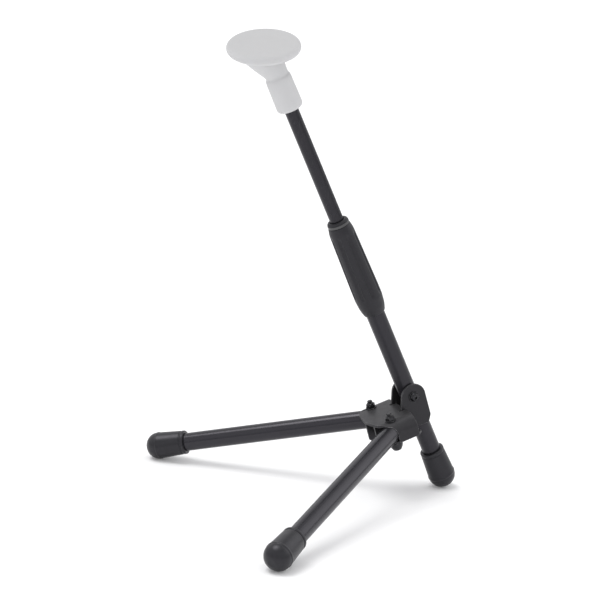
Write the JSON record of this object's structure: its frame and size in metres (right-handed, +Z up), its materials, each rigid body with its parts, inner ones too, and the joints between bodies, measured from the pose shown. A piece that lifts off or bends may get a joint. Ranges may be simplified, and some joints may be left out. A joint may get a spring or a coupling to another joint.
{
  "type": "saxophone stand",
  "caption": "Folding in-bell saxophone stand: spread front legs, leaning post with a rear foot, twist-lock sliding rod and a soft disc peg.",
  "frame": {"origin": "on the floor, under the centre of the bounding box's footprint", "axes": "+Z up, -Y towards the side that the front legs and the leaning post point to, X across the stand"},
  "size_m": [0.416, 0.3228, 0.543],
  "materials": {
    "black_paint": "satin black powder coat on steel sheet",
    "tube_paint": "semi-gloss black paint on steel tube",
    "rod_finish": "semi-gloss black paint, lightly rubbed",
    "black_zinc": "dark zinc plate",
    "nylon": "matt black nylon",
    "pale_nylon": "natural nylon",
    "grip_rubber": "matt fluted rubber",
    "foot_rubber": "satin moulded rubber",
    "peg_rubber": "light grey soft-touch rubber"
  },
  "bodies": {
    "hub": {"hub_cover": "black_paint", "cheek_left": "black_paint", "cheek_right": "black_paint", "base_plate": "black_paint", "leg_pivot_bolts": "black_zinc", "leg_pivot_washers": "black_zinc", "leg_pivot_nuts": "black_zinc", "post_pivot_bolt": "black_zinc", "post_pivot_nut": "black_zinc", "post_pivot_washers": "black_zinc"},
    "leg_left": {"leg_left_tube": "tube_paint", "leg_left_plug": "nylon", "leg_left_foot": "foot_rubber"},
    "leg_right": {"leg_right_tube": "tube_paint", "leg_right_plug": "nylon", "leg_right_foot": "foot_rubber"},
    "post": {"post_tube": "tube_paint", "post_pivot_bush": "nylon", "rear_foot": "foot_rubber", "thread_sleeve": "nylon", "collet": "pale_nylon", "collet_cap": "grip_rubber"},
    "clutch": {"clutch_grip": "grip_rubber", "grip_core": "nylon"},
    "rod": {"upper_rod": "rod_finish", "rod_guide": "nylon", "rod_plug": "nylon"},
    "peg": {"peg": "peg_rubber", "peg_socket": "nylon"}
  },
  "joints": [
    {"name": "leg_left_swing", "type": "hinge", "parent": "hub", "child": "leg_left", "pos_m": [-0.026, 0.06417, 0.0838], "axis": [0, -0.3064, 0.9519], "range_deg": [0, 37]},
    {"name": "leg_right_swing", "type": "hinge", "parent": "hub", "child": "leg_right", "pos_m": [0.026, 0.06417, 0.0838], "axis": [0, 0.3064, -0.9519], "range_deg": [0, 37]},
    {"name": "post_fold", "type": "hinge", "parent": "hub", "child": "post", "pos_m": [0, 0.09449, 0.11982], "axis": [1, 0, 0], "range_deg": [0, 78]},
    {"name": "clutch_twist", "type": "hinge", "parent": "post", "child": "clutch", "pos_m": [0, 0.09449, 0.11982], "axis": [0, -0.4384, 0.8988], "range_deg": [0, 180]},
    {"name": "rod_slide", "type": "slide", "parent": "post", "child": "rod", "axis": [0, -0.4384, 0.8988], "range_m": [-0.125, 0.03]},
    {"name": "peg_turn", "type": "hinge", "parent": "rod", "child": "peg", "pos_m": [0, 0.09449, 0.11982], "axis": [0, -0.4384, 0.8988], "continuous": true}
  ]
}
